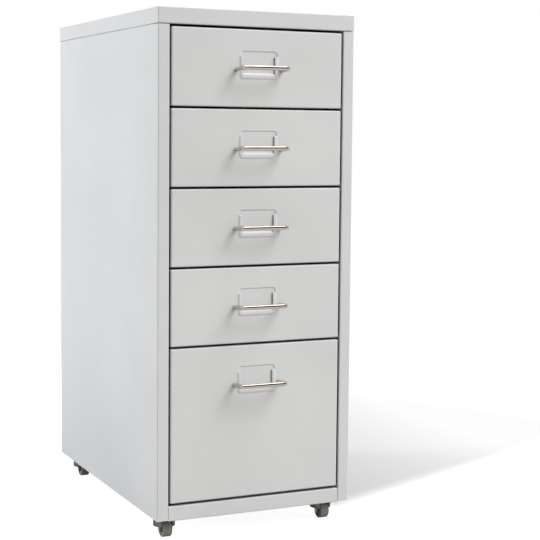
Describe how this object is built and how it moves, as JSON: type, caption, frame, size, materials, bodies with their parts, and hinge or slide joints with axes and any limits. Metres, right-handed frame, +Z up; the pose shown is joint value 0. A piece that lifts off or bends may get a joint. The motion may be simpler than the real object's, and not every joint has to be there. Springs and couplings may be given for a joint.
{
  "type": "drawer cabinet",
  "caption": "Upright folded-steel drawer cabinet with shallow drawers over a deep one, rod handles, card holders and small swivel casters.",
  "frame": {"origin": "on the floor, under the middle of the cabinet's whole box with its handles", "axes": "+Z up, +Y towards the back, +X to the right of someone who faces the drawers"},
  "size_m": [0.28, 0.4587, 0.69],
  "materials": {
    "grey_enamel": "light grey baked enamel, semi-gloss",
    "zinc_plate": "bright zinc plate",
    "caster_steel": "dull dark zinc plate on pressed steel",
    "nickel_plate": "polished nickel plate",
    "black_enamel": "black enamel",
    "grey_wheel": "moulded, matt dark grey"
  },
  "bodies": {
    "cabinet": {"left_side_panel": "grey_enamel", "right_side_panel": "grey_enamel", "back_panel": "grey_enamel", "floor_pan": "grey_enamel", "top_cover": "grey_enamel", "cover_studs": "zinc_plate", "cover_nuts": "zinc_plate", "back_rivets": "zinc_plate", "caster_bolts": "zinc_plate", "caster_nuts": "zinc_plate", "caster_kingpins": "zinc_plate", "runners_1": "zinc_plate", "runners_2": "zinc_plate", "runners_3": "zinc_plate", "runners_4": "zinc_plate", "runners_5": "zinc_plate", "front_left_caster_plate": "black_enamel", "front_right_caster_plate": "black_enamel", "back_left_caster_plate": "black_enamel", "back_right_caster_plate": "black_enamel"},
    "drawer_1": {"drawer_1_front": "grey_enamel", "drawer_1_tray": "grey_enamel", "drawer_1_tray_ends": "grey_enamel", "drawer_1_handle": "nickel_plate", "drawer_1_handle_screws": "zinc_plate"},
    "drawer_2": {"drawer_2_front": "grey_enamel", "drawer_2_tray": "grey_enamel", "drawer_2_tray_ends": "grey_enamel", "drawer_2_handle": "nickel_plate", "drawer_2_handle_screws": "zinc_plate"},
    "drawer_3": {"drawer_3_front": "grey_enamel", "drawer_3_tray": "grey_enamel", "drawer_3_tray_ends": "grey_enamel", "drawer_3_handle": "nickel_plate", "drawer_3_handle_screws": "zinc_plate"},
    "drawer_4": {"drawer_4_front": "grey_enamel", "drawer_4_tray": "grey_enamel", "drawer_4_tray_ends": "grey_enamel", "drawer_4_handle": "nickel_plate", "drawer_4_handle_screws": "zinc_plate"},
    "drawer_5": {"drawer_5_front": "grey_enamel", "drawer_5_tray": "grey_enamel", "drawer_5_tray_ends": "grey_enamel", "drawer_5_handle": "nickel_plate", "drawer_5_handle_screws": "zinc_plate"},
    "front_left_swivel": {"front_left_caster_fork": "caster_steel", "front_left_caster_axle": "zinc_plate"},
    "front_left_wheel": {"front_left_caster_wheel": "grey_wheel"},
    "front_right_swivel": {"front_right_caster_fork": "caster_steel", "front_right_caster_axle": "zinc_plate"},
    "front_right_wheel": {"front_right_caster_wheel": "grey_wheel"},
    "back_left_swivel": {"back_left_caster_fork": "caster_steel", "back_left_caster_axle": "zinc_plate"},
    "back_left_wheel": {"back_left_caster_wheel": "grey_wheel"},
    "back_right_swivel": {"back_right_caster_fork": "caster_steel", "back_right_caster_axle": "zinc_plate"},
    "back_right_wheel": {"back_right_caster_wheel": "grey_wheel"}
  },
  "joints": [
    {"name": "drawer_1_slide", "type": "slide", "parent": "cabinet", "child": "drawer_1", "axis": [0, -1, 0], "range_m": [0, 0.29]},
    {"name": "drawer_2_slide", "type": "slide", "parent": "cabinet", "child": "drawer_2", "axis": [0, -1, 0], "range_m": [0, 0.29]},
    {"name": "drawer_3_slide", "type": "slide", "parent": "cabinet", "child": "drawer_3", "axis": [0, -1, 0], "range_m": [0, 0.29]},
    {"name": "drawer_4_slide", "type": "slide", "parent": "cabinet", "child": "drawer_4", "axis": [0, -1, 0], "range_m": [0, 0.29]},
    {"name": "drawer_5_slide", "type": "slide", "parent": "cabinet", "child": "drawer_5", "axis": [0, -1, 0], "range_m": [0, 0.29]},
    {"name": "front_left_swivel_turn", "type": "hinge", "parent": "cabinet", "child": "front_left_swivel", "pos_m": [-0.116, -0.16365, 0.026], "axis": [0, 0, 1], "continuous": true},
    {"name": "front_left_wheel_roll", "type": "hinge", "parent": "front_left_swivel", "child": "front_left_wheel", "pos_m": [-0.116, -0.16815, 0.011], "axis": [1, 0, 0], "continuous": true},
    {"name": "front_right_swivel_turn", "type": "hinge", "parent": "cabinet", "child": "front_right_swivel", "pos_m": [0.116, -0.16365, 0.026], "axis": [0, 0, 1], "continuous": true},
    {"name": "front_right_wheel_roll", "type": "hinge", "parent": "front_right_swivel", "child": "front_right_wheel", "pos_m": [0.116, -0.16815, 0.011], "axis": [1, 0, 0], "continuous": true},
    {"name": "back_left_swivel_turn", "type": "hinge", "parent": "cabinet", "child": "back_left_swivel", "pos_m": [-0.116, 0.19235, 0.026], "axis": [0, 0, 1], "continuous": true},
    {"name": "back_left_wheel_roll", "type": "hinge", "parent": "back_left_swivel", "child": "back_left_wheel", "pos_m": [-0.116, 0.18785, 0.011], "axis": [1, 0, 0], "continuous": true},
    {"name": "back_right_swivel_turn", "type": "hinge", "parent": "cabinet", "child": "back_right_swivel", "pos_m": [0.116, 0.19235, 0.026], "axis": [0, 0, 1], "continuous": true},
    {"name": "back_right_wheel_roll", "type": "hinge", "parent": "back_right_swivel", "child": "back_right_wheel", "pos_m": [0.116, 0.18785, 0.011], "axis": [1, 0, 0], "continuous": true}
  ]
}
